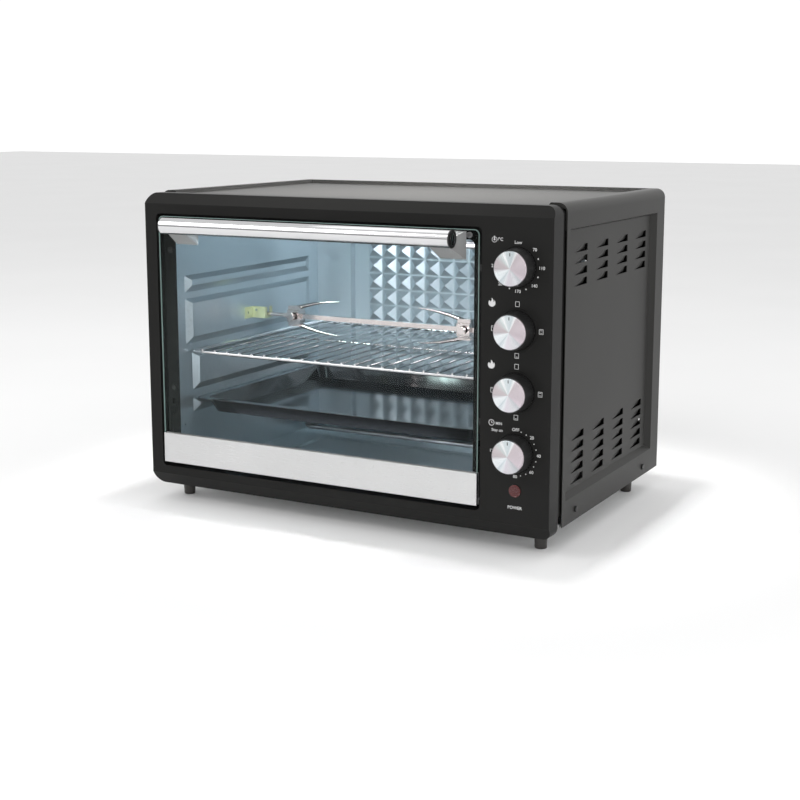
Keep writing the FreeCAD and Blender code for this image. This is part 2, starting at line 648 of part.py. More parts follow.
def rotisserie_motor():
    """The geared motor behind the cavity's right wall, with the bore its socket turns in."""
    y, z, start = dim("spit_y"), dim("spit_z"), dim("cavity_right") + 9
    gearbox = Part.makeCylinder(24, 12, Vector(start, y, z), RIGHT)
    coil = Part.makeCylinder(21, 16, Vector(start + 12, y, z), RIGHT)
    ears = Part.makeBox(1.2, 64, 12, Vector(start, y - 32, z - 6))
    lugs = Part.makeBox(10, 16, 8, Vector(start + 14, y - 8, z - 27))
    bore = Part.makeCylinder(3.55, 14, Vector(start - 1, y, z), RIGHT)
    return feature("rotisserie_motor", gearbox.multiFuse([coil, ears, lugs]).cut(bore))


def motor_bracket():
    """The bent strap that holds the motor off the hot wall."""
    y, z, wall = dim("spit_y"), dim("spit_z"), dim("cavity_right") + dim("wall")
    strap = Part.makeBox(1, 80, 30, Vector(dim("cavity_right") + 8, y - 40, z - 15))
    legs = [Part.makeBox(dim("cavity_right") + 9 - wall, 1, 30, Vector(wall, y + at, z - 15))
            for at in (-40, 39)]
    feet_ = [Part.makeBox(1, 12, 30, Vector(wall, y + at, z - 15)) for at in (-52, 40)]
    hole = Part.makeCylinder(10, 30, Vector(wall - 1, y, z), RIGHT)
    return feature("motor_bracket", strap.multiFuse(legs + feet_).cut(hole))


def spit_fork(name, hub_x, direction):
    """A sliding fork: a square-bored block with two curved, pointed prongs along the rod."""
    y, z, hole = dim("spit_y"), dim("spit_z"), dim("rod_side") + 0.3
    block = Part.makeBox(18, 16, 16, Vector(hub_x - 9, y - 8, z - 8))
    bore = Part.makeBox(20, hole, hole, Vector(hub_x - 10, y - hole / 2, z - hole / 2))
    thread = Part.makeCylinder(2, 10, Vector(hub_x, y, z), FRONT)
    prongs = []
    for side in (1, -1):
        root = Vector(hub_x, y, z + side * 10)
        middle = Vector(hub_x + direction * 30, y, z + side * 18)
        tip = Vector(hub_x + direction * 68, y, z + side * 22.5)
        curve = Part.Arc(root, middle, tip).toShape()
        start = Part.Wire(Part.makeCircle(3.2, root, curve.tangentAt(curve.FirstParameter)))
        end = Part.Wire(Part.makeCircle(0.5, tip, curve.tangentAt(curve.LastParameter)))
        prong = Part.Wire(curve).makePipeShell([start, end], True, True)
        lug = Part.makeBox(18, 10, 7, Vector(hub_x - 9, y - 5, z + side * 10 - 3.5))
        prongs += [prong, lug]
    return feature(name, block.multiFuse(prongs).cut(bore).cut(thread))


def fork_screw(name, hub_x):
    """The thumb screw that locks a fork on the rod."""
    y, z, start = dim("spit_y"), dim("spit_z"), dim("rod_side") / 2 + 0.2
    stem = Part.makeCylinder(2, 10, Vector(hub_x, y - start, z), FRONT)
    head = Part.makeCylinder(5.5, 4, Vector(hub_x, y - start - 8, z), FRONT)
    return feature(name, stem.fuse(head))


def wire_rack():
    """The welded wire shelf: a thick frame loop, a cross wire and thin wires on top."""
    left, right = dim("cavity_left") + dim("rack_side"), dim("cavity_right") - dim("rack_side")
    front, back, z = dim("rack_front"), dim("rack_back"), dim("rack_z")
    thick, thin, bend, bite = dim("rack_wire"), dim("rod_wire"), 4, 0.6
    left, right = left + thick, right - thick
    corners = [(left, front), (right, front), (right, back), (left, back)]
    pieces = []
    for number, (x, y) in enumerate(corners):
        next_x, next_y = corners[(number + 1) % 4]
        start, end = Vector(x, y, z), Vector(next_x, next_y, z)
        along = (end - start).normalize()
        pieces.append(Part.makeCylinder(thick, (end - start).Length - 2 * bend,
                                        start + along * bend, along))
        turn = Part.makeTorus(bend, thick, Vector(), UP, -180, 180, 90)
        turn.rotate(Vector(), UP, 180 + 90 * number)
        middle = Vector(x + math.copysign(bend, -x + (left + right) / 2),
                        y + math.copysign(bend, -y + (front + back) / 2), z)
        turn.translate(middle)
        pieces.append(turn)
    top = z + thick + thin - bite
    middle = (front + back) / 2
    pieces.append(Part.makeCylinder(1, right - left, Vector(left, middle, z + 0.6), RIGHT))
    count = int((right - left) / dim("rack_pitch")) - 1
    first = (left + right - count * dim("rack_pitch")) / 2
    for number in range(count + 1):
        x = first + number * dim("rack_pitch")
        pieces.append(Part.makeCylinder(thin, back - front + 2 * thick,
                                        Vector(x, front - thick, top), BACK))
    return feature("wire_rack", pieces[0].multiFuse(pieces[1:]))


def baking_tray():
    """The enamelled tray: a flat rim that rides on the bars and a drafted pan below it."""
    rim = box("tray_rim", ("cavity_left + 2", "cavity_right - 2"), ("tray_front", "tray_back"),
              ("tray_rim_z", "tray_rim_z + 1"))
    pans = []
    for off in ("0", "tray_wall"):
        wide = (f"cavity_left + 13 + {off}", f"cavity_right - 13 - {off}"), \
               (f"tray_front + 9 + {off}", f"tray_back - 9 - {off}")
        slim = (f"cavity_left + 21 + {off}", f"cavity_right - 21 - {off}"), \
               (f"tray_front + 17 + {off}", f"tray_back - 17 - {off}")
        pans.append(frustum(f"tray_pan_{off}", "z",
                            (f"tray_rim_z + 1 - tray_depth + {off}", "tray_rim_z + 1"), slim, wide))
    pans = [rounded(f"tray_pan_round{n}", pan, "z", "frame_round") for n, pan in enumerate(pans)]
    return cut("baking_tray", fuse("tray_form", rounded("tray_rim_round", rim, "z", "frame_round"),
                                   pans[0]), pans[1])


def door_glass():
    """The toughened glass pane, drilled for the handle."""
    pane = box("pane", ("door_left", "door_right"), ("glass_front", "glass_back"),
               ("door_low + 1.3", "door_high"))
    holes = [Part.makeCylinder(2.5, 10, Vector(x, 0, z), BACK) for x, z in handle_screw_places()]
    return cut("door_glass", rounded("pane_round", pane, "y", "recess_round"),
               feature("glass_holes", Part.makeCompound(holes)))


def door_trim():
    """The steel channel along the bottom edge of the glass."""
    channel = box("trim_block", ("door_left", "door_right"), ("trim_front", "trim_back"),
                  ("door_low", "trim_high"))
    groove = box("trim_groove", ("door_left - 5", "door_right + 5"), ("glass_front", "glass_back"),
                 ("door_low + 1.3", "trim_high + 5"))
    return cut("door_trim", channel, groove)


def handle_screw_places():
    """The middle of each handle bracket, at the height of its screw."""
    return [(x + dim("bracket_width") / 2, HANDLE_SCREW_Z) for x in BRACKET_X]


def handle():
    """Tube, its two end plugs, two wedge brackets that saddle the tube, and their screws."""
    at = ("handle_left + cap_edge", "handle_y", "handle_z")
    length = "handle_right - handle_left - 2 * cap_edge"
    tube = cut("handle_tube", cylinder("tube_outer", "x", "tube_radius", at, length),
               cylinder("tube_inner", "x", "tube_radius - tube_wall", at, length))
    plugs = []
    for number, (edge, stub) in enumerate((("handle_left", "handle_left + cap_edge"),
                                           ("handle_right - cap_edge",
                                            "handle_right - cap_edge - 8"))):
        disc = cylinder(f"plug_disc{number}", "x", "tube_radius",
                        (edge, "handle_y", "handle_z"), "cap_edge")
        neck = cylinder(f"plug_neck{number}", "x", "tube_radius - tube_wall",
                        (stub, "handle_y", "handle_z"), "8")
        plugs.append(fuse(f"plug{number}", disc, neck))
    node(tube)
    node(group("handle_end_plugs", *plugs))
    for name, x, nose in zip(("left", "right"), BRACKET_X, BRACKET_NOSE_X):
        foot = (f"{x}", f"{x} + bracket_width")
        wedge = frustum(f"bracket_wedge_{name}", "y", ("handle_y", "glass_front"),
                        (nose, ("bracket_nose", "handle_z")),
                        (foot, ("bracket_low", "bracket_high")))
        saddle = cylinder(f"bracket_saddle_{name}", "x", "tube_radius",
                          ("handle_left", "handle_y", "handle_z"), "handle_right - handle_left")
        bore = cylinder(f"bracket_bore_{name}", "y", 2.5,
                        (f"{x} + bracket_width / 2", "glass_front - 10", HANDLE_SCREW_Z), "20")
        node(cut(f"handle_bracket_{name}", wedge, saddle, bore))
    screws = [screw(Vector(x, dim("glass_back"), z), BACK, 12, 4.6, 2.5)
              for x, z in handle_screw_places()]
    node(feature("handle_screws", Part.makeCompound(screws)))


def hinge_arm(name, x):
    """A flat arm fixed behind the trim: an eye on the pin, a riser and a curved tail."""
    y, z, radius, width = (dim("hinge_y"), dim("hinge_z"), dim("arm_radius"), dim("arm_width"))
    thick, start = 2, x - 1
    outer = Part.makeCylinder(radius + width / 2, thick, Vector(), UP, 90 + TAIL_DROP)
    inner = Part.makeCylinder(radius - width / 2, thick, Vector(), UP, 90 + TAIL_DROP)
    tail = outer.cut(inner)
    tail.rotate(Vector(), UP, -TAIL_DROP)
    tail.rotate(Vector(), Vector(1, 1, 1), 120)
    tail.translate(Vector(start, y, z))
    eye = Part.makeCylinder(4.2, thick, Vector(start, y, z), RIGHT)
    riser = Part.makeBox(thick, 5.5, radius + width / 2, Vector(start, y - 2.2, z))
    foot = Part.makeBox(8, 1.2, 24, Vector(x - 4, dim("trim_back"), z + 6))
    bore = Part.makeCylinder(dim("pin_radius") + dim("running_gap"), 10,
                             Vector(start - 4, y, z), RIGHT)
    door = Part.makeBox(20, 20, 20, Vector(x - 10, dim("trim_back") - 20, z - 10))
    return feature(name, tail.multiFuse([eye, riser, foot]).cut(bore).cut(door))


def hinge_pins():
    """The fixed ears and pins that the door turns on."""
    made = []
    y, z = dim("hinge_y"), dim("hinge_z")
    for side, wall, arm in ((1, dim("recess_left"), ARM_X[0]), (-1, dim("recess_right"), ARM_X[1])):
        plate_x = wall + 0.2 if side > 0 else wall - 1.7
        ear = Part.makeBox(1.5, 12, 14, Vector(plate_x, 3.8, z - 7))
        length = 14
        pin_x = wall + 0.4 if side > 0 else wall - 0.4 - length
        pin = Part.makeCylinder(dim("pin_radius"), length, Vector(pin_x, y, z), RIGHT)
        made.append(ear.fuse(pin))
    return feature("hinge_pins", Part.makeCompound(made))


def hinge_springs():
    """The two springs that draw the door shut, hooked to pegs on the cavity's sides."""
    made = []
    z, wire, coil_radius, pitch, turns = 38, 0.5, 3, 2.5, 18
    front, outer = 78, dim("wall")
    places = ((ARM_X[0] - 2, dim("cavity_left") - outer), (ARM_X[1] + 2, dim("cavity_right") + outer))
    for x, wall in places:
        helix = Part.makeHelix(pitch, turns * pitch, coil_radius)
        circle = Part.Wire(Part.makeCircle(wire, Vector(coil_radius, 0, 0), Vector(0, 1, 0)))
        coil = Part.Wire(helix).makePipeShell([circle], True, True)
        coil.rotate(Vector(), RIGHT, -90)
        coil.translate(Vector(x, front, z))
        peg = Part.makeCylinder(2, abs(x - wall) + coil_radius + 1,
                                Vector(wall, front + turns * pitch + 1, z),
                                RIGHT if x > wall else LEFT)
        made.append(coil.fuse(peg))
    return feature("hinge_springs", Part.makeCompound(made))


def knob(name, z):
    """A fluted knob body with a shallow seat for its metal cap."""
    at = ("knob_x", "-knob_gap", z)
    body = doc.addObject("PartDesign::Body", name)
    plane = [f for f in body.Origin.OriginFeatures if f.Role == "YZ_Plane"][0]
    sketch = body.newObject("Sketcher::SketchObject", name + "_profile")
    sketch.AttachmentSupport = [(plane, "")]
    sketch.MapMode = "FlatFace"
    foot, head, depth = dim("knob_foot"), dim("knob_head"), dim("knob_face") - dim("knob_gap")
    bore = dim("shaft_radius")
    outline = [(bore, 2), (foot - 2, 2), (foot - 2, 0), (foot, 0), (head, depth), (bore, depth)]
    for first, last in zip(outline, outline[1:] + outline[:1]):
        sketch.addGeometry(Part.LineSegment(Vector(*first), Vector(*last)))
    spin = body.newObject("PartDesign::Revolution", name + "_turned")
    spin.Profile = sketch
    spin.ReferenceAxis = (sketch, ["V_Axis"])
    spin.Angle = 360
    flute = body.newObject("Sketcher::SketchObject", name + "_flute")
    base = [f for f in body.Origin.OriginFeatures if f.Role == "XY_Plane"][0]
    flute.AttachmentSupport = [(base, "")]
    flute.MapMode = "FlatFace"
    flute.addGeometry(Part.Circle(Vector(foot + 0.5, 0), Vector(0, 0, 1), 1.3))
    groove = body.newObject("PartDesign::Pocket", name + "_groove")
    groove.Profile = flute
    groove.Reversed = True
    groove.Length = depth - 2.5
    ring = body.newObject("PartDesign::PolarPattern", name + "_flutes")
    ring.Originals = [groove]
    ring.Axis = (flute, ["N_Axis"])
    ring.Angle = 360
    ring.Occurrences = 36
    body.Tip = ring
    stand(body, *at, Rotation(Vector(1, 0, 0), 90))
    return body


def knob_cap(name, z):
    """The spun metal disc on the knob's face, with a bevelled edge."""
    disc = cone(name, "y", "cap_radius - 0.8", "cap_radius",
                ("knob_x", "-knob_face - knob_cap", z), "knob_cap")
    return disc


def knob_shaft(name, z):
    """The control's turning shaft, from inside the knob to its switch."""
    return cylinder(name, "y", "shaft_radius", ("knob_x", "-knob_face", z),
                    "knob_face + bracket_plate + 14")


def control_body(name, z, width, depth, height, extra):
    """A switch, thermostat or timer: a case with a threaded neck in the control bracket."""
    x, plate = dim("knob_x"), dim("bracket_plate") + 1.2
    case = Part.makeBox(width, depth, height, Vector(x - width / 2, plate, z - height / 2))
    neck = Part.makeCylinder(4.8, 8, Vector(x, plate - 6, z), BACK)
    parts = [neck] + [Part.makeBox(6, 9, 0.8, Vector(x + at, plate + depth, z + rise))
                      for at, rise in extra]
    bore = Part.makeCylinder(dim("shaft_radius") + dim("running_gap"), 24,
                             Vector(x, plate - 10, z), BACK)
    return feature(name, case.multiFuse(parts).cut(bore))


def control_bracket():
    """The steel plate behind the fascia that carries the four controls and the lamp."""
    x, y = dim("knob_x"), dim("bracket_plate")
    plate = Part.makeBox(74, 1.2, 306, Vector(x - 37, y, 56))
    edge = Part.makeBox(1.2, 12, 306, Vector(x - 37, y, 56))
    holes = [Part.makeCylinder(4.9, 20, Vector(x, y - 5, z), BACK) for z in knob_heights()]
    holes.append(Part.makeCylinder(6, 20, Vector(x, y - 5, dim("lamp_z")), BACK))
    return feature("control_bracket", plate.fuse(edge).cut(Part.makeCompound(holes)))


def indicator_lamp():
    """The power light: a red lens on the front of its lamp holder."""
    x, z, radius = dim("knob_x"), dim("lamp_z"), dim("lamp_radius")
    lens = Part.makeCylinder(radius, 5, Vector(x, -1, z), BACK)
    holder = Part.makeCylinder(5, 24, Vector(x, 4, z), BACK)
    return feature("indicator_lamp", lens.fuse(holder))


def thermostat_bulb():
    """The sensing bulb inside the cavity and its capillary to the thermostat."""
    z, y = BULB_HOLE[1], BULB_HOLE[0]
    inside = dim("cavity_right") - 9
    thermostat_back = dim("bracket_plate") + 1.2 + 30
    bulb = Part.makeCylinder(3, 70, Vector(inside, y - 86, z), BACK)
    path = [Vector(inside, y - 20, z), Vector(inside, y, z), Vector(dim("knob_x") - 8, y, z),
            Vector(dim("knob_x") - 8, thermostat_back, z)]
    return feature("thermostat_bulb", bulb.fuse(tube_path(path, 1, 6)))


def casing_screws():
    """The screws of the sides, the rear cover and the feet."""
    edge = dim("half_width")
    made = [screw(Vector(side * edge, y, z), RIGHT * side) for y, z in SIDE_SCREWS
            for side in (1, -1)]
    made += [screw(Vector(x, dim("shell_back") + 1, z), BACK) for x, z in REAR_SCREWS]
    made += [screw(Vector(x, y, 13), DOWN, 22, 3.8, 2) for x, y in foot_places()]
    return feature("casing_screws", Part.makeCompound(made))


def build():
    """Makes every piece of the oven."""
    node(outer_shell())
    node(rear_cover())
    node(base_plate())
    node(feet())
    node(front_frame())
    node(cavity_front_flange())
    node(cavity_side("cavity_left_wall", -1))
    node(cavity_side("cavity_right_wall", 1))
    node(pyramid_panel())
    node(cavity_floor())
    node(cavity_roof())
    for name, (y, z) in ELEMENTS.items():
        node(heating_element(name, y, z))
    node(element_bushes())
    node(feature("flange_screws", Part.makeCompound(
        [screw(Vector(x, dim("flange_front"), z), FRONT, 5) for x, z in FLANGE_SCREWS])))
    node(casing_screws())
    node(cord_gland())
    for piece in (spit_bracket(), rotisserie_motor(), motor_bracket(), drive_socket(), spit_rod()):
        node(piece)
    for side, hub_x, direction in (("left", -170, 1), ("right", 82.5, -1)):
        node(spit_fork(f"spit_fork_{side}", hub_x, direction))
        node(fork_screw(f"fork_screw_{side}", hub_x))
    node(wire_rack())
    node(baking_tray())
    node(door_glass())
    node(door_trim())
    handle()
    for name, x in zip(("left", "right"), ARM_X):
        node(hinge_arm(f"hinge_arm_{name}", x))
    node(hinge_pins())
    node(hinge_springs())
    node(control_bracket())
    tags = [(-16, -10), (-16, 4), (8, -10), (8, 4)]
    controls = (("timer", 46, 40, 46), ("lower_function", 34, 28, 34),
                ("upper_function", 34, 28, 34), ("thermostat", 34, 30, 36))
    for (name, width, depth, height), z in zip(controls, knob_heights()):
        level = f"knob_low_z + {round((z - dim('knob_low_z')) / dim('knob_pitch'))} * knob_pitch"
        node(knob(f"{name}_knob", level))
        node(knob_cap(f"{name}_knob_cap", level))
        node(knob_shaft(f"{name}_shaft", level))
        node(control_body(f"{name}_body", z, width, depth, height, tags))
    node(indicator_lamp())
    node(thermostat_bulb())


build()
doc.recompute()
faults = [thing.Name for thing in doc.Objects if "Invalid" in thing.State or "Error" in thing.State]
for piece in nodes:
    if piece.Shape.isNull() or not piece.Shape.isValid() or piece.Shape.Volume < 1:
        faults.append(piece.Label)
if faults:
    raise RuntimeError(f"these objects failed: {faults}")
for piece in nodes:
    piece.Shape.exportStep(f"parts/{piece.Label}.step")
print(len(nodes), "pieces written")
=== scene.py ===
"""The looks of the countertop rotisserie oven: materials, soft edges, dial prints and small parts."""

import json
import math

import bmesh
import bpy
from mathutils import Matrix, Vector

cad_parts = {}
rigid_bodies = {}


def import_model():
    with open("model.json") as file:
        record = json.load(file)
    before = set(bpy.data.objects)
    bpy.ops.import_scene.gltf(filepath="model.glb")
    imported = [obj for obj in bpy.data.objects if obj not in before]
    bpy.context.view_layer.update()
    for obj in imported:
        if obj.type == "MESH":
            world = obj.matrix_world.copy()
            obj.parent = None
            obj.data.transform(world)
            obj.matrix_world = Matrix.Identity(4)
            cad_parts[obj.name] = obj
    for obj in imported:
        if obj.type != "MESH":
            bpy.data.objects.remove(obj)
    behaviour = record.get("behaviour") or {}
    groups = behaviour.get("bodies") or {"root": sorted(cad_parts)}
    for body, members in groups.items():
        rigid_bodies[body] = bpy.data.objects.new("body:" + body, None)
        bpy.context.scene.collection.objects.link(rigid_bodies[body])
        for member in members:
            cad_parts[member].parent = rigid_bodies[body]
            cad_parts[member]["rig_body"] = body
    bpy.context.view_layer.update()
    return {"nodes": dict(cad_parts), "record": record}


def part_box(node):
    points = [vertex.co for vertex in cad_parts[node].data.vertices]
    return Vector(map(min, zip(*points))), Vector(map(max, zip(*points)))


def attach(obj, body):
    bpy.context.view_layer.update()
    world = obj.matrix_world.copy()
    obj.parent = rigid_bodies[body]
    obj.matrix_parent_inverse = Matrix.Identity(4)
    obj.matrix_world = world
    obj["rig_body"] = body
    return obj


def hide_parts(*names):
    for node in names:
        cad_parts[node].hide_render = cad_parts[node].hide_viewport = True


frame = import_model()
nodes = frame["nodes"]
slots = {part["node"]: part["material_slot"] for part in frame["record"]["subparts"]}

MM = 0.001
CONTROLS = ("timer", "lower_function", "upper_function", "thermostat")


# ---------------------------------------------------------------- materials

WANDER = (0.3, 0.7)  # the part of a noise's range that the finishes use
FINE = 60            # scale of the noise in the gloss of a finish with no grain of its own


def shader(name, colour, rough, metal=0.0):
    """A new material, its node tree and its shader."""
    made = bpy.data.materials.new(name)
    made.use_nodes = True
    tree = made.node_tree
    principled = tree.nodes["Principled BSDF"]
    principled.inputs["Base Color"].default_value = (*colour, 1)
    principled.inputs["Roughness"].default_value = rough
    principled.inputs["Metallic"].default_value = metal
    return made, tree, principled


def noise(tree, scale, stretch=(1, 1, 1)):
    """A noise texture in metres, stretched along the axes whose factor is small."""
    where = tree.nodes.new("ShaderNodeTexCoord")
    mapping = tree.nodes.new("ShaderNodeMapping")
    mapping.inputs["Scale"].default_value = stretch
    made = tree.nodes.new("ShaderNodeTexNoise")
    made.inputs["Scale"].default_value = scale
    made.inputs["Detail"].default_value = 3
    tree.links.new(where.outputs["Object"], mapping.inputs["Vector"])
    tree.links.new(mapping.outputs["Vector"], made.inputs["Vector"])
    return made.outputs["Fac"]


def vary_colour(tree, principled, factor, first, second):
    """Colour that wanders between two shades."""
    ramp = tree.nodes.new("ShaderNodeValToRGB")
    for element, position, colour in zip(ramp.color_ramp.elements, WANDER, (first, second)):
        element.position = position
        element.color = (*colour, 1)
    tree.links.new(factor, ramp.inputs["Fac"])
    tree.links.new(ramp.outputs["Color"], principled.inputs["Base Color"])


def vary_rough(tree, principled, factor, low, high):
    """Roughness that wanders between two values."""
    spread = tree.nodes.new("ShaderNodeMapRange")
    spread.inputs["From Min"].default_value = WANDER[0]
    spread.inputs["From Max"].default_value = WANDER[1]
    spread.inputs["To Min"].default_value = low
    spread.inputs["To Max"].default_value = high
    tree.links.new(factor, spread.inputs["Value"])
    tree.links.new(spread.outputs["Result"], principled.inputs["Roughness"])


def bumpy(tree, principled, factor, depth, strength=1.0):
    """Relief of a depth in metres."""
    bump = tree.nodes.new("ShaderNodeBump")
    bump.inputs["Strength"].default_value = strength
    bump.inputs["Distance"].default_value = depth
    tree.links.new(factor, bump.inputs["Height"])
    tree.links.new(bump.outputs["Normal"], principled.inputs["Normal"])


def shade_of(colour, share):
    """The colour times a share."""
    return tuple(min(1.0, c * share) for c in colour)


def surface(name, colour, rough, metal=0.0, spread=0.06, blotch=14, grain=0, depth=0.0,
            stretch=(1, 1, 1), sway=0.03, sheen=0.5):
    """A finish with slow colour changes, uneven gloss and, where asked, a fine relief."""
    made, tree, principled = shader(name, colour, rough, metal)
    principled.inputs["Specular IOR Level"].default_value = sheen
    slow = noise(tree, blotch)
    vary_colour(tree, principled, slow, shade_of(colour, 1 - spread), shade_of(colour, 1 + spread))
    fine = noise(tree, grain or FINE, stretch)
    vary_rough(tree, principled, fine, max(0.0, rough - sway), min(1.0, rough + sway))
    if depth:
        bumpy(tree, principled, fine, depth)
    return made


def coated(made, weight, rough):
    """Adds a clear glossy layer."""
    principled = made.node_tree.nodes["Principled BSDF"]
    principled.inputs["Coat Weight"].default_value = weight
    principled.inputs["Coat Roughness"].default_value = rough
    return made


# Painted reflection on the turned face of a knob, fixed to the knob: (share of a turn round the disc,
# tint)
PAINTED_SHEEN_SECTORS = ((0.006, (0.60, 0.55, 0.58)), (0.053, (0.93, 0.97, 0.99)), (0.130, (0.90, 0.95, 0.98)),
           (0.144, (0.68, 0.76, 0.80)), (0.190, (0.90, 0.93, 0.96)), (0.228, (0.78, 0.74, 0.80)),
           (0.310, (0.74, 0.74, 0.77)), (0.375, (0.55, 0.57, 0.60)), (0.403, (0.70, 0.62, 0.67)),
           (0.664, (0.68, 0.61, 0.64)), (0.686, (0.95, 0.96, 0.97)), (0.714, (0.66, 0.73, 0.76)),
           (0.790, (0.72, 0.78, 0.80)), (0.820, (0.94, 0.95, 0.96)), (0.853, (0.62, 0.68, 0.68)),
           (0.930, (0.66, 0.60, 0.62)))


def spun(name, share, rough):
    """Metal turned on a lathe about Y: streaked highlights, fine rings and fan-shaped tints of painted
    reflection.
    """
    made, tree, principled = shader(name, (share, share, share), rough, 1.0)
    principled.inputs["Anisotropic"].default_value = 0.85
    tangent = tree.nodes.new("ShaderNodeTangent")
    tangent.direction_type = "RADIAL"
    tangent.axis = "Y"
    tree.links.new(tangent.outputs["Tangent"], principled.inputs["Tangent"])
    where = tree.nodes.new("ShaderNodeTexCoord")
    centred = tree.nodes.new("ShaderNodeMapping")
    centred.inputs["Location"].default_value = (-0.5, -0.5, -0.5)
    tree.links.new(where.outputs["Generated"], centred.inputs["Vector"])
    rings = tree.nodes.new("ShaderNodeTexWave")
    rings.wave_type = "RINGS"
    rings.rings_direction = "Y"
    rings.inputs["Scale"].default_value = 30
    rings.inputs["Distortion"].default_value = 1.5
    rings.inputs["Detail"].default_value = 2
    tree.links.new(centred.outputs["Vector"], rings.inputs["Vector"])
    vary_rough(tree, principled, rings.outputs["Fac"], rough - 0.04, rough + 0.06)
    bumpy(tree, principled, rings.outputs["Fac"], 0.00001, 0.5)
    upright = tree.nodes.new("ShaderNodeMapping")
    upright.inputs["Rotation"].default_value = (math.radians(-90), 0, 0)
    tree.links.new(centred.outputs["Vector"], upright.inputs["Vector"])
    # Painted reflection: fan-shaped tints round the disc, painted into the base colour
    sheen_fan = tree.nodes.new("ShaderNodeTexGradient")
    sheen_fan.gradient_type = "RADIAL"
    tree.links.new(upright.outputs["Vector"], sheen_fan.inputs["Vector"])
    tint = tree.nodes.new("ShaderNodeValToRGB")
    while len(tint.color_ramp.elements) < len(PAINTED_SHEEN_SECTORS):
        tint.color_ramp.elements.new(0.5)
    for element, (turn, colour) in zip(tint.color_ramp.elements, PAINTED_SHEEN_SECTORS):
        element.position = turn
        element.color = (*shade_of(colour, share), 1)
    tree.links.new(sheen_fan.outputs["Fac"], tint.inputs["Fac"])
    tree.links.new(tint.outputs["Color"], principled.inputs["Base Color"])
    return made


def pane(name):
    """Thin clear glass: faint mirror reflections that grow with Fresnel over a clear body."""
    made, tree, principled = shader(name, (0.26, 0.30, 0.29), 0.02, 1.0)
    fresnel = tree.nodes.new("ShaderNodeFresnel")
    fresnel.inputs["IOR"].default_value = 1.5
    opacity = tree.nodes.new("ShaderNodeMapRange")
    opacity.inputs["To Max"].default_value = 0.35
    tree.links.new(fresnel.outputs["Fac"], opacity.inputs["Value"])
    tree.links.new(opacity.outputs["Result"], principled.inputs["Alpha"])
    return made


STREAK_X = (0.02, 1, 1)  # a grain drawn out along X

# name, colour, roughness, metal, colour spread, blotch scale, grain scale, relief in metres
finish = {
    "shell_paint": surface("shell_paint", (0.023, 0.0225, 0.021), 0.40, 0.0, 0.06, 8, 2600, 0.00001,
                           sheen=0.20),
    "fascia_black": surface("fascia_black", (0.0098, 0.0097, 0.0092), 0.42, 0.0, 0.05, 6, 2600, 0.000003,
                            sway=0.02, sheen=0.13),
    "inner_black": surface("inner_black", (0.005, 0.005, 0.005), 0.45, 0.0, 0.06, 10, 2600, 0.000001,
                           sheen=0.1),
    "cavity_steel": surface("cavity_steel", (0.47, 0.56, 0.61), 0.28, 0.8, 0.04, 9, 2000, 0.000004,
                            sway=0.02),
    "panel_steel": surface("panel_steel", (0.45, 0.54, 0.59), 0.34, 0.6, 0.04, 9, 2000, 0.000004,
                            sway=0.02),
    "zinc_steel": surface("zinc_steel", (0.62, 0.63, 0.63), 0.32, 1.0, 0.08, 40, 300),
    "chrome": surface("chrome", (0.70, 0.70, 0.71), 0.07, 1.0, 0.02, 20, 200, sway=0.02),
    "trim_steel": surface("trim_steel", (0.64, 0.64, 0.64), 0.33, 1.0, 0.02, 10, 2500, 0.000006,
                          STREAK_X, 0.08),
    "element_steel": surface("element_steel", (0.30, 0.31, 0.32), 0.42, 1.0, 0.15, 30, 900),
    "enamel": surface("enamel", (0.010, 0.011, 0.013), 0.12, 0.0, 0.05, 30, 100, sway=0.01, sheen=0.45),
    "knob_black": surface("knob_black", (0.013, 0.013, 0.013), 0.42, 0.0, 0.08, 30, 2500, 0.00002),
    "knob_metal": spun("knob_metal", 0.86, 0.26),
    "bracket_silver": surface("bracket_silver", (0.66, 0.66, 0.66), 0.22, 0.55, 0.03, 20, 2600),
    "foot_plastic": surface("foot_plastic", (0.035, 0.032, 0.029), 0.32, 0.0, 0.08, 30, 1500, 0.00002),
    "control_plastic": surface("control_plastic", (0.55, 0.52, 0.45), 0.5, 0.0, 0.05, 30, 1500, 0.00002),
    "ceramic": surface("ceramic", (0.78, 0.75, 0.68), 0.3, 0.0, 0.04, 40, 900),
    "brass": surface("brass", (0.75, 0.58, 0.26), 0.28, 1.0, 0.06, 60, 900),
    "lens_red": coated(surface("lens_red", (0.075, 0.005, 0.005), 0.18, 0.0, 0.1, 80, 900), 0.6, 0.05),
    "spring_steel": surface("spring_steel", (0.42, 0.42, 0.43), 0.35, 1.0, 0.08, 60, 900),
    "door_glass": pane("door_glass"),
}
print_white = surface("print_white", (0.62, 0.62, 0.62), 0.5, 0.0, 0.03, 40, 1500)
bracket_zinc = surface("bracket_zinc", (0.47, 0.52, 0.33), 0.40, 0.4, 0.08, 90, 900)
glass_edge = surface("glass_edge", (0.20, 0.29, 0.27), 0.25, 0.0, 0.1, 40, 600)
pointer_ink = surface("pointer_ink", (0.05, 0.05, 0.05), 0.5, 0.0, 0.05, 40, 900)

dark_chrome = surface("dark_chrome", (0.60, 0.56, 0.55), 0.10, 1.0, 0.05, 30, 400, sway=0.02)
black_zinc = surface("black_zinc", (0.03, 0.03, 0.03), 0.34, 0.6, 0.1, 60, 2000)

own_finish = {"cavity_back_panel": finish["panel_steel"], "spit_bracket": bracket_zinc,
              "casing_screws": black_zinc, "flange_screws": black_zinc,
              "hinge_arm_left": finish["inner_black"], "hinge_arm_right": finish["inner_black"],
              "spit_rod": dark_chrome}
for fork_part in ("spit_fork_left", "spit_fork_right", "fork_screw_left", "fork_screw_right"):
    own_finish[fork_part] = dark_chrome
for name, thing in nodes.items():
    thing.data.materials.clear()
    thing.data.materials.append(own_finish.get(name, finish[slots[name]]))


# ------------------------------------------------------------------ meshes

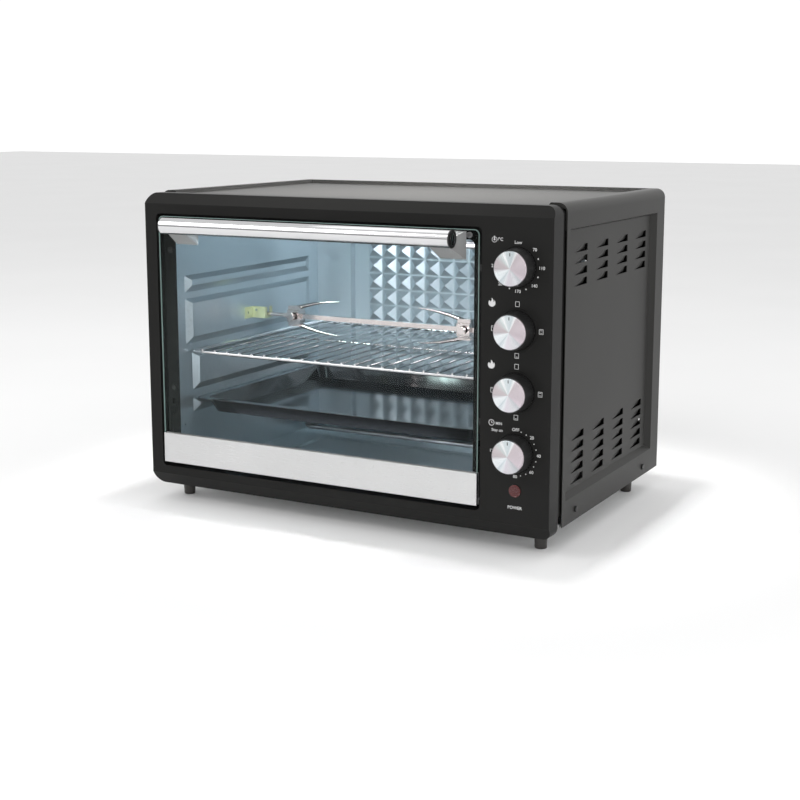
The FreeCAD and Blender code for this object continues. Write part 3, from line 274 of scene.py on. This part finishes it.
WELD = 2e-6
LEVEL_ANGLE = math.radians(0.6)   # faces closer than this count as one flat face
SMOOTH_ANGLE = math.radians(34)   # the sharpest edge that is still shaded smooth
BEVEL_ANGLE = math.radians(32)    # the bluntest edge that is rounded
FRONT_BEVEL_ANGLE = math.radians(18)


def linked(name, data):
    """A new object in the scene."""
    made = bpy.data.objects.new(name, data)
    bpy.context.scene.collection.objects.link(made)
    return made


def mesh_of(name, bm):
    """A mesh from a bmesh, which it uses up."""
    mesh = bpy.data.meshes.new(name)
    bm.to_mesh(mesh)
    bm.free()
    return mesh


def applied(holder):
    """The mesh of an object with its modifiers applied. The object is used up."""
    bpy.context.view_layer.update()
    graph = bpy.context.evaluated_depsgraph_get()
    mesh = bpy.data.meshes.new_from_object(holder.evaluated_get(graph))
    bpy.data.objects.remove(holder)
    return mesh


def piece(name, mesh, body, look):
    """A mesh as a piece that rides on a body."""
    made = linked(name, mesh)
    mesh.materials.clear()
    mesh.materials.append(look)
    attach(made, body)
    return made


def stand_in(name, mesh, node):
    """A mesh as a piece with the body and finish of a CAD node."""
    return piece(name, mesh, nodes[node]["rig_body"], nodes[node].data.materials[0])


def evened(mesh):
    """The mesh with smooth corners whose shading leaves the large faces flat."""
    for face in mesh.polygons:
        face.use_smooth = True
    mesh.set_sharp_from_angle(angle=SMOOTH_ANGLE)
    holder = linked(mesh.name, mesh)
    weigh = holder.modifiers.new("weigh", "WEIGHTED_NORMAL")
    weigh.weight = 100
    weigh.keep_sharp = True
    return applied(holder)


def soften(node, width, angle):
    """Stands a copy with rounded edges in for a CAD node."""
    bm = bmesh.new()
    bm.from_mesh(nodes[node].data)
    bmesh.ops.remove_doubles(bm, verts=bm.verts, dist=WELD)
    bmesh.ops.dissolve_limit(bm, angle_limit=LEVEL_ANGLE, verts=bm.verts, edges=bm.edges)
    made = linked(node + "_soft", mesh_of(node + "_soft", bm))
    bevel = made.modifiers.new("edges", "BEVEL")
    bevel.width = width
    bevel.segments = 2
    bevel.limit_method = "ANGLE"
    bevel.angle_limit = angle
    bevel.use_clamp_overlap = True
    bevel.miter_outer = "MITER_ARC"
    soft = stand_in(node + "_soft", evened(applied(made)), node)
    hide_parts(node)
    return soft


def crisp(node):
    """Stands a copy shaded flat, facet by facet, in for a CAD node."""
    source = nodes[node].data
    mesh = bpy.data.meshes.new(node + "_crisp")
    mesh.from_pydata([vertex.co.copy() for vertex in source.vertices], [],
                     [list(face.vertices) for face in source.polygons])
    sharp = stand_in(node + "_crisp", mesh, node)
    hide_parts(node)


def joined(name, parts):
    """One mesh from several (mesh, matrix) pairs, which it uses up."""
    bm = bmesh.new()
    for mesh, place in parts:
        mesh.transform(place)
        bm.from_mesh(mesh)
        bpy.data.meshes.remove(mesh)
    return mesh_of(name, bm)


def curve_mesh(curve):
    """The mesh of a curve, which it uses up."""
    holder = bpy.data.objects.new(curve.name, curve)
    mesh = bpy.data.meshes.new_from_object(holder)
    bpy.data.objects.remove(holder)
    bpy.data.curves.remove(curve)
    return mesh


def tube(points, radius):
    """A round wire through points, capped at its ends."""
    curve = bpy.data.curves.new("wire", "CURVE")
    curve.dimensions = "3D"
    curve.bevel_depth = radius
    curve.bevel_resolution = 2
    curve.use_fill_caps = True
    line = curve.splines.new("POLY")
    line.points.add(len(points) - 1)
    for spot, point in zip(line.points, points):
        spot.co = (*point, 1)
    mesh = curve_mesh(curve)
    for face in mesh.polygons:
        face.use_smooth = True
    return mesh


# ------------------------------------------------------------------- print

PRINT_THICK = 0.06 * MM
BOLDNESS = 0.012     # how far the outline of a letter grows, as a share of its size
face_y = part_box("front_frame")[0].y


def lettering(words, size):
    """Flat raised letters, centred, that face -Y."""
    curve = bpy.data.curves.new("words", "FONT")
    curve.body = words
    curve.size = size
    curve.align_x = "CENTER"
    curve.align_y = "CENTER"
    curve.extrude = PRINT_THICK / 2
    curve.offset = size * BOLDNESS
    curve.resolution_u = 4
    mesh = curve_mesh(curve)
    mesh.transform(Matrix.Rotation(math.radians(90), 4, "X"))
    return mesh


def around(angle, radius):
    """The (x, z) step to a point at a clock angle in degrees."""
    turn = math.radians(angle)
    return radius * math.sin(turn), radius * math.cos(turn)


def bridge(bm, first, second):
    """A strip of faces between two closed loops of vertices."""
    for k in range(len(first)):
        m = (k + 1) % len(first)
        bm.faces.new((first[k], first[m], second[m], second[k]))


def flat(points):
    """A thin plate from (x, z) points, centred on y = 0."""
    bm = bmesh.new()
    front = [bm.verts.new((x, -PRINT_THICK / 2, z)) for x, z in points]
    back = [bm.verts.new((x, PRINT_THICK / 2, z)) for x, z in points]
    bm.faces.new(front)
    bm.faces.new(back[::-1])
    bridge(bm, front, back)
    bmesh.ops.recalc_face_normals(bm, faces=bm.faces)
    return mesh_of("plate", bm)


def dot(radius, sides=16):
    """A printed dot."""
    return flat([around(360 * n / sides, radius) for n in range(sides)])


def bar(x0, z0, x1, z1, width):
    """A straight printed line."""
    run = Vector((x1 - x0, z1 - z0))
    side = Vector((-run.y, run.x)).normalized() * width / 2
    return flat([(x0 + side.x, z0 + side.y), (x1 + side.x, z1 + side.y),
                 (x1 - side.x, z1 - side.y), (x0 - side.x, z0 - side.y)])


def ring_strokes(radius, width, sides=20):
    """A printed circle line as short bars."""
    step = 360 / sides
    return [bar(*around(n * step, radius), *around((n + 1) * step, radius), width) for n in range(sides)]


def frame_icon(width, height, line, low, high):
    """A small oven symbol: a rectangle, with a bar for each element that is on."""
    w, h = width / 2, height / 2
    reach, lift = w * 0.6, h * 0.5
    made = [bar(-w, h, w, h, line), bar(-w, -h, w, -h, line), bar(-w, -h, -w, h, line),
            bar(w, -h, w, h, line)]
    if high:
        made.append(bar(-reach, lift, reach, lift, line))
    if low:
        made.append(bar(-reach, -lift, reach, -lift, line))
    return made


def flame_icon(size):
    """A broad flame with three tongues."""
    outline = [(0.0, -1.0), (0.45, -0.9), (0.82, -0.55), (0.92, -0.1), (0.85, 0.3), (0.66, 0.58),
               (0.56, 0.22), (0.42, 0.18), (0.38, 0.55), (0.12, 0.98), (-0.12, 1.12), (-0.06, 0.72),
               (-0.2, 0.35), (-0.4, 0.16), (-0.5, 0.4), (-0.68, 0.52), (-0.88, 0.15), (-0.93, -0.2),
               (-0.8, -0.6), (-0.45, -0.9)]
    return [flat([(x * size, z * size) for x, z in outline])]


def clock_icon(size):
    """A clock face with two hands."""
    return ring_strokes(size, size * 0.22) + [bar(0, 0, 0, size * 0.62, size * 0.2),
                                              bar(0, 0, size * 0.45, -size * 0.1, size * 0.2)]


def thermometer_icon(size):
    """A thermometer in a ring."""
    return (ring_strokes(size, size * 0.16)
            + [dot(size * 0.36), bar(0, 0, 0, size * 1.35, size * 0.34)])


def place_at(x, z):
    """The place of a print on the black front."""
    return Matrix.Translation((x, face_y - PRINT_THICK / 2, z))


def knob_middle(control):
    """Where a knob's axis meets the front, as (x, z)."""
    low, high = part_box(f"{control}_knob_cap")
    return (low.x + high.x) / 2, (low.z + high.z) / 2


LETTER = 5.0 * MM
LABEL_STEP = 45                 # degrees from one label to the next
LABEL_RADIUS = 26.6 * MM
LABEL_SPREAD = 1.4 * MM         # how much farther out the labels at the sides stand
DOT_RADIUS = 25.6 * MM
SYMBOL_RADIUS = 28.5 * MM
HEAT_LABELS = ("Low", "70", "110", "140", "170", "200", "230")
TIME_LABELS = ("OFF", "20", "40", "60", "80", "100", "120")
HEAT_DOTS = (67.5, 112.5, 157.5, 202.5, 247.5)
TIME_DOT_STEP = 15
LIT = {0: (0, 0), 90: (1, 1), 180: (1, 0), 270: (0, 1)}  # clock angle: lower, upper element on


def dial_print(control):
    """The white print round one knob."""
    x, z = knob_middle(control)
    parts = []

    def put(mesh, angle, radius):
        dx, dz = around(angle, radius)
        parts.append((mesh, place_at(x + dx, z + dz)))

    def label_all(labels):
        for n, words in enumerate(labels):
            aside = abs(math.sin(math.radians(LABEL_STEP * n)))
            put(lettering(words, LETTER), LABEL_STEP * n, LABEL_RADIUS + LABEL_SPREAD * aside)

    def put_all(meshes, dx, dz):
        parts.extend((mesh, place_at(x + dx, z + dz)) for mesh in meshes)

    if control == "thermostat":
        label_all(HEAT_LABELS)
        for angle in HEAT_DOTS:
            put(dot(0.8 * MM), angle, DOT_RADIUS)
        put_all(thermometer_icon(2.9 * MM), -28.3 * MM, 28.8 * MM)
        put_all([lettering("/°C", 4.8 * MM)], -21.3 * MM, 29.2 * MM)
    elif control == "timer":
        label_all(TIME_LABELS)
        for angle in range(0, LABEL_STEP * (len(TIME_LABELS) - 1), TIME_DOT_STEP):
            if angle % LABEL_STEP:
                put(dot(0.65 * MM), angle, DOT_RADIUS)
        put_all([lettering("Stay on", 4.6 * MM)], -22.5 * MM, 24 * MM)
        put_all(clock_icon(3.2 * MM), -29.5 * MM, 32 * MM)
        put_all([lettering("MIN", 4.4 * MM)], -20.5 * MM, 31.5 * MM)
    else:
        for angle, (low, high) in LIT.items():
            put_all(frame_icon(4.6 * MM, 5.4 * MM, 0.5 * MM, low, high), *around(angle, SYMBOL_RADIUS))
        put_all(flame_icon(4.6 * MM), -30.5 * MM, 28.5 * MM)
    piece(f"{control}_print", joined(f"{control}_print", parts), "oven", print_white)


for control in CONTROLS:
    dial_print(control)

lamp_low, lamp_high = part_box("indicator_lamp")
lamp_x, lamp_z = (lamp_low.x + lamp_high.x) / 2, (lamp_low.z + lamp_high.z) / 2
power_word = [(lettering("POWER", LETTER), place_at(lamp_x, lamp_z - 19.5 * MM))]
piece("power_print", joined("power_print", power_word), "oven", print_white)


# ------------------------------------------------------------- small parts

TURNED_CREASE = math.radians(30)
RING = ((22.3, 0), (22.6, -0.5), (23.6, -0.5), (24.0, 0))                  # (radius, y) in mm
PLUG_SHINE = ((0.05, 0.6), (6.4, 0.6), (6.4, 0), (5.4, -0.35), (0.05, -0.5))   # (radius, y) in mm


def turned(profile, x, z, sides=96):
    """A ring turned about the Y axis through x and z, from (radius, y) points of a closed profile."""
    bm = bmesh.new()
    loops = []
    for n in range(sides):
        a = 2 * math.pi * n / sides
        loops.append([bm.verts.new((x + r * math.sin(a), y, z + r * math.cos(a))) for r, y in profile])
    for n in range(sides):
        bridge(bm, loops[n], loops[(n + 1) % sides])
    bmesh.ops.recalc_face_normals(bm, faces=bm.faces)
    mesh = mesh_of("turned", bm)
    for face in mesh.polygons:
        face.use_smooth = True
    mesh.set_sharp_from_angle(angle=TURNED_CREASE)
    return mesh


# A raised ring round each knob, and the pointer line on its cap
for control in CONTROLS:
    x, z = knob_middle(control)
    ring = turned([(r * MM, face_y + y * MM) for r, y in RING], x, z)
    piece(f"{control}_ring", ring, "oven", finish["fascia_black"])
    tick = bar(0, 13.5 * MM, 0, 17.0 * MM, 1.0 * MM)
    cap_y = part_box(f"{control}_knob_cap")[0].y
    tick.transform(Matrix.Translation((x, cap_y - PRINT_THICK / 2, z)))
    piece(f"{control}_pointer", tick, f"{control}_control", pointer_ink)

# Level ribs across the indicator's lens
RIB_COUNT, RIB_PITCH, RIB_RADIUS, LENS_RADIUS = 6, 2.1 * MM, 0.7 * MM, 6.7 * MM
ribs = []
for n in range(RIB_COUNT):
    off = (n - (RIB_COUNT - 1) / 2) * RIB_PITCH
    half = math.sqrt(LENS_RADIUS ** 2 - off ** 2)
    ends = [(lamp_x + side * half, lamp_low.y, lamp_z + off) for side in (-1, 1)]
    ribs.append((tube(ends, RIB_RADIUS), Matrix.Identity(4)))
piece("indicator_ribs", joined("indicator_ribs", ribs), "oven", finish["lens_red"])

SOFT_EDGES = {  # node: width of its rounded edges in mm
    "front_frame": 0.9, "cavity_front_flange": 0.25,
    "door_trim": 0.3, "door_glass": 0.35, "handle_bracket_left": 0.5, "handle_bracket_right": 0.5,
    "handle_end_plugs": 0.6, "feet": 0.8, "baking_tray": 0.25, "cord_gland": 0.5,
    "spit_fork_left": 0.3, "spit_fork_right": 0.3, "drive_socket": 0.4, "spit_bracket": 0.25,
    "handle_screws": 0.3, "flange_screws": 0.4, "casing_screws": 0.4, "fork_screw_left": 0.4,
    "fork_screw_right": 0.4,
}
for control in CONTROLS:
    SOFT_EDGES[f"{control}_knob_cap"] = 0.4
softened = {node: soften(node, width * MM, FRONT_BEVEL_ANGLE if node == "front_frame" else BEVEL_ANGLE)
            for node, width in SOFT_EDGES.items()}

for node in ("cavity_back_panel", "cavity_left_wall", "cavity_right_wall"):
    crisp(node)

# Chrome buttons in the ends of the handle: a painted highlight standing in for the reflection on the
# glossy black end plugs
plug_low, plug_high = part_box("handle_end_plugs")
for name, x, turn in (("right", plug_high.x, 90), ("left", plug_low.x, -90)):
    shape = turned([(r * MM, y * MM) for r, y in PLUG_SHINE], 0, 0, 48)
    middle = Vector((x, (plug_low.y + plug_high.y) / 2, (plug_low.z + plug_high.z) / 2))
    shape.transform(Matrix.Translation(middle) @ Matrix.Rotation(math.radians(turn), 4, "Z"))
    piece(f"handle_plug_shine_{name}", shape, "door", finish["chrome"])

# The screw at the top right of the black front is bright; the others are black
BRIGHT_FROM_X, BRIGHT_FROM_Z = 0.1, 0.33
screws = softened["flange_screws"].data
screws.materials.append(finish["bracket_silver"])
for face in screws.polygons:
    if face.center.x > BRIGHT_FROM_X and face.center.z > BRIGHT_FROM_Z:
        face.material_index = 1

# Polished edge of the door glass: a thin band round its top and sides
BAND_OUT, BAND_IN = 0.15 * MM, 0.6 * MM          # how far it stands out and reaches in
BAND_FRONT, BAND_BACK = 0.02 * MM, 1.6 * MM      # from the face of the glass
GLASS_CORNER = 6 * MM
glass_low, glass_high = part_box("door_glass")
trim_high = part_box("door_trim")[1].z


def arc_points(x, z, radius, first, last, steps=6):
    """Points on an arc about x and z, between two angles in degrees from +X."""
    turns = [math.radians(first + (last - first) * n / steps) for n in range(steps + 1)]
    return [(x + radius * math.cos(turn), z + radius * math.sin(turn)) for turn in turns]


def edge_path(grow):
    """The outline of the pane above the trim, from the left side over the top to the right."""
    radius, top = GLASS_CORNER + grow, glass_high.z - GLASS_CORNER
    return ([(glass_low.x - grow, trim_high)]
            + arc_points(glass_low.x + GLASS_CORNER, top, radius, 180, 90)
            + arc_points(glass_high.x - GLASS_CORNER, top, radius, 90, 0)
            + [(glass_high.x + grow, trim_high)])


bm = bmesh.new()
rows = []
near, far = glass_low.y + BAND_FRONT, glass_low.y + BAND_BACK
for (x_in, z_in), (x_out, z_out) in zip(edge_path(-BAND_IN), edge_path(BAND_OUT)):
    rows.append([bm.verts.new(p) for p in ((x_in, near, z_in), (x_out, near, z_out),
                                           (x_out, far, z_out), (x_in, far, z_in))])
for first, second in zip(rows, rows[1:]):
    bridge(bm, first, second)
bm.faces.new(rows[0])
bm.faces.new(rows[-1][::-1])
bmesh.ops.recalc_face_normals(bm, faces=bm.faces)
band = mesh_of("door_glass_edge", bm)
piece("door_glass_edge", band, "door", glass_edge)


# ------------------------------------------------------------------- stage

def area_light(name, place, aim, size, power, colour=(1, 1, 1)):
    """A rectangular lamp at a place, turned towards its aim, with its power in watts."""
    light = bpy.data.lights.new(name, "AREA")
    light.shape = "RECTANGLE"
    light.size, light.size_y = size
    light.energy = power
    light.color = colour
    made = linked(name, light)
    made.location = place
    made.rotation_euler = (Vector(aim) - Vector(place)).to_track_quat("-Z", "Y").to_euler()
    return made


CENTRE = (0, 0, 0.2)
area_light("key_left", (-1.7, -1.9, 1.8), CENTRE, (1.3, 1.3), 20)
area_light("front_fill", (0.5, -2.6, 0.9), CENTRE, (1.2, 0.8), 14)
area_light("right_strip", (2.3, -0.2, 0.9), CENTRE, (0.6, 1.5), 6)
area_light("overhead", (0, 0.3, 2.2), CENTRE, (2.4, 1.6), 8)
top_light = area_light("top_light", (0, 0.02, 1.0), (0, 0.02, 0), (0.4, 0.25), 3)
top_light.data.spread = math.radians(45)
top_light.visible_glossy = False

# Small lamps inside the cavity: name, place, aim, size, watts, tint
GLOWS = (
    ("upper_glow", (0.02, -0.13, 0.345), (-0.034, 0.165, 0.14), (0.26, 0.04), 0.44, (1.0, 0.97, 1.0)),
    ("left_glow", (-0.19, -0.10, 0.335), (0.0, 0.165, 0.15), (0.05, 0.05), 0.12, (0.75, 1.0, 0.97)),
    ("right_glow", (0.14, -0.12, 0.30), (-0.24, 0.06, 0.16), (0.05, 0.12), 0.28, (0.95, 0.97, 1.0)),
    ("shelf_glow", (-0.034, -0.14, 0.165), (-0.10, 0.165, 0.14), (0.3, 0.015), 0.04, (0.95, 0.98, 1.0)),
    ("floor_glow", (-0.034, -0.14, 0.102), (-0.034, 0.165, 0.05), (0.3, 0.015), 0.15, (0.95, 0.98, 1.0)),
)
for name, place, aim, size, power, tint in GLOWS:
    glow = area_light(name, place, aim, size, power, tint)
    glow.data.spread = math.radians(120)
    glow.visible_camera = False

# A white studio, with a dark band ahead of the object that draws a line in bright metal
world = bpy.data.worlds.new("studio")
bpy.context.scene.world = world
world.use_nodes = True
sky = world.node_tree
direction = sky.nodes.new("ShaderNodeTexCoord")
axes = sky.nodes.new("ShaderNodeSeparateXYZ")
sky.links.new(direction.outputs["Generated"], axes.inputs["Vector"])


def sky_ramp(axis, stops):
    """A ramp of greys along one axis of the sky, from (position, grey) stops."""
    ramp = sky.nodes.new("ShaderNodeValToRGB")
    while len(ramp.color_ramp.elements) < len(stops):
        ramp.color_ramp.elements.new(0.5)
    for element, (position, grey) in zip(ramp.color_ramp.elements, stops):
        element.position = position
        element.color = (grey, grey, grey, 1)
    sky.links.new(axes.outputs[axis], ramp.inputs["Fac"])
    return ramp.outputs["Color"]


ahead = sky_ramp("Z", ((0.0, 0.9), (0.02, 0.10), (0.10, 0.12), (0.14, 0.85), (0.42, 0.9), (0.55, 0.55),
                       (0.8, 0.8)))
behind = sky_ramp("Z", ((0.0, 1.0), (0.3, 0.95), (0.6, 0.75), (1.0, 0.7)))
BLEND_REACH = 0.15   # how far either side of the middle the two halves of the sky blend
turn = sky.nodes.new("ShaderNodeMapRange")
turn.inputs["From Min"].default_value = -BLEND_REACH
turn.inputs["From Max"].default_value = BLEND_REACH
blend = sky.nodes.new("ShaderNodeMix")
blend.data_type = "RGBA"
sky.links.new(axes.outputs["Y"], turn.inputs["Value"])
sky.links.new(turn.outputs["Result"], blend.inputs["Factor"])
sky.links.new(ahead, blend.inputs["A"])
sky.links.new(behind, blend.inputs["B"])
sky.links.new(blend.outputs["Result"], sky.nodes["Background"].inputs["Color"])
sky.nodes["Background"].inputs["Strength"].default_value = 1.08
bpy.context.scene.view_settings.view_transform = "Standard"

bm = bmesh.new()
bmesh.ops.create_grid(bm, x_segments=1, y_segments=1, size=12)
floor_mesh = mesh_of("floor", bm)
floor = linked("floor", floor_mesh)
floor_mesh.materials.append(surface("floor_paint", (0.90, 0.90, 0.90), 0.8, 0.0, 0.01, 2, 60))

CAMERA_PLACE = (0.8594, -1.581, 0.4903)
CAMERA_AZIMUTH, CAMERA_ELEVATION = math.radians(28.6), math.radians(10.09)
lens = bpy.data.cameras.new("camera")
lens.sensor_width = 36
lens.lens = 64.1
lens.shift_x = -0.0042
lens.shift_y = -0.0438
lens.clip_start = 0.05
camera = linked("camera", lens)
camera.location = CAMERA_PLACE
away = Vector((math.sin(CAMERA_AZIMUTH) * math.cos(CAMERA_ELEVATION),
               -math.cos(CAMERA_AZIMUTH) * math.cos(CAMERA_ELEVATION), math.sin(CAMERA_ELEVATION)))
camera.rotation_euler = away.to_track_quat("Z", "Y").to_euler()
bpy.context.scene.camera = camera
